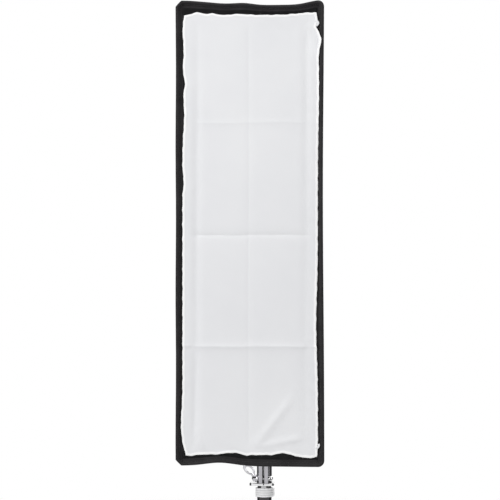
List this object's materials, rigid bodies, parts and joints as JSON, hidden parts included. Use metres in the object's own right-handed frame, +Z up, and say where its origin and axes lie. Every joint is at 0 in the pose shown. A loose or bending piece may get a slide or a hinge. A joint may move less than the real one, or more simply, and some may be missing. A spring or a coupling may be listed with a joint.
{
  "type": "strip softbox",
  "caption": "Tall narrow softbox with a white front in a black fabric frame, on a tilting speedring bracket and a clamped riser above a black stand tube.",
  "frame": {"origin": "centre of the black stand tube's lower end", "axes": "+Z up along the stand tube and riser; -Y towards the white front; +X to the right seen from the front"},
  "size_m": [0.3, 0.438, 1.152],
  "materials": {
    "rim_webbing": "matt black nylon",
    "shell_cloth": "black ripstop outside, silver inside",
    "pocket_webbing": "matt black webbing",
    "hook_tape": "black hook tape",
    "diffuser_cloth": "translucent white nylon",
    "baffle_cloth": "translucent white nylon",
    "elastic": "matt black elastic",
    "spring_steel": "oiled spring steel",
    "black_plastic": "fine textured black",
    "bush_plastic": "satin dark grey",
    "machined_aluminium": "machined, satin",
    "black_casting": "textured black powder coat",
    "zinc_steel": "zinc plated",
    "chrome_casting": "bright chrome plate",
    "chrome_tube": "bright chrome plate",
    "black_tube": "gloss black paint",
    "grey_collar": "satin light grey",
    "dark_screws": "black oxide"
  },
  "bodies": {
    "stand": {"stand_tube": "black_tube", "lock_collar": "grey_collar", "collar_screw": "dark_screws", "neck_ring": "chrome_casting", "neck_screws": "dark_screws", "base_plate": "chrome_casting", "riser_clamp": "chrome_casting", "riser_bush": "bush_plastic", "clamp_nut": "chrome_casting"},
    "clamp_lever": {"clamp_handle": "chrome_casting", "clamp_bolt": "chrome_casting"},
    "riser": {"riser_tube": "chrome_tube", "riser_foot": "bush_plastic", "riser_stud": "zinc_steel"},
    "receiver": {"receiver": "black_casting", "friction_washers": "black_plastic"},
    "receiver_knob": {"receiver_knob": "black_plastic", "receiver_screw": "zinc_steel"},
    "bracket": {"tilt_yoke": "black_casting", "mount_ring": "black_casting", "yoke_screws": "zinc_steel", "speedring_insert": "machined_aluminium", "retainer_ring": "machined_aluminium", "retainer_screws": "zinc_steel", "pivot_bolt": "zinc_steel", "pivot_nut": "zinc_steel", "shoe_bar": "machined_aluminium", "bar_screws": "zinc_steel", "latch_spring": "spring_steel", "latch_cap": "zinc_steel"},
    "tilt_lever": {"tilt_lever": "black_plastic"},
    "shoe": {"cold_shoe": "machined_aluminium", "shoe_screw": "zinc_steel"},
    "shoe_knob": {"shoe_knob": "black_plastic"},
    "latch": {"latch_pin": "zinc_steel", "latch_button": "black_plastic"},
    "ring_lock": {"ring_lock_knob": "black_plastic", "ring_lock_screw": "zinc_steel"},
    "softbox": {"speedring": "machined_aluminium", "rod_sockets": "machined_aluminium", "socket_screws": "zinc_steel", "rod_top_left": "spring_steel", "rod_top_right": "spring_steel", "rod_bottom_left": "spring_steel", "rod_bottom_right": "spring_steel", "rod_caps": "black_plastic", "shell_top": "shell_cloth", "shell_bottom": "shell_cloth", "shell_left": "shell_cloth", "shell_right": "shell_cloth", "rim_top": "rim_webbing", "rim_bottom": "rim_webbing", "rim_left": "rim_webbing", "rim_right": "rim_webbing", "hook_tape": "hook_tape", "corner_pockets": "pocket_webbing", "front_diffuser": "diffuser_cloth", "inner_baffle": "baffle_cloth", "baffle_straps": "elastic", "rear_flaps": "shell_cloth"}
  },
  "joints": [
    {"name": "riser_slide", "type": "slide", "parent": "stand", "child": "riser", "axis": [0, 0, 1], "range_m": [0, 0.1]},
    {"name": "clamp_lever_turn", "type": "hinge", "parent": "stand", "child": "clamp_lever", "pos_m": [0, -0.02, 0.1515], "axis": [1, 0, 0], "range_deg": [-80, 60]},
    {"name": "pan", "type": "hinge", "parent": "riser", "child": "receiver", "pos_m": [0, 0, 0.5], "axis": [0, 0, 1], "continuous": true},
    {"name": "receiver_knob_turn", "type": "hinge", "parent": "receiver", "child": "receiver_knob", "pos_m": [0, 0, 0.5], "axis": [1, 0, 0], "continuous": true},
    {"name": "tilt", "type": "hinge", "parent": "receiver", "child": "bracket", "pos_m": [0, 0, 0.548], "axis": [1, 0, 0], "range_deg": [-60, 35]},
    {"name": "tilt_lever_turn", "type": "hinge", "parent": "bracket", "child": "tilt_lever", "pos_m": [0, 0, 0.548], "axis": [1, 0, 0], "range_deg": [-60, 120]},
    {"name": "softbox_turn", "type": "hinge", "parent": "bracket", "child": "softbox", "pos_m": [0, -0.086, 0.682], "axis": [0, 1, 0], "continuous": true},
    {"name": "ring_lock_turn", "type": "hinge", "parent": "bracket", "child": "ring_lock", "pos_m": [0.074, -0.078, 0.682], "axis": [0, 1, 0], "continuous": true},
    {"name": "shoe_slide", "type": "slide", "parent": "bracket", "child": "shoe", "axis": [0, 1, 0], "range_m": [-0.025, 0.025]},
    {"name": "shoe_knob_turn", "type": "hinge", "parent": "shoe", "child": "shoe_knob", "pos_m": [0, 0.06, 0.575], "axis": [0, 0, 1], "continuous": true},
    {"name": "latch_slide", "type": "slide", "parent": "bracket", "child": "latch", "axis": [0, 1, 0], "range_m": [0, 0.005], "stiffness_N_per_m": 500, "springref_m": -0.006, "deforming": ["latch_spring"]}
  ]
}
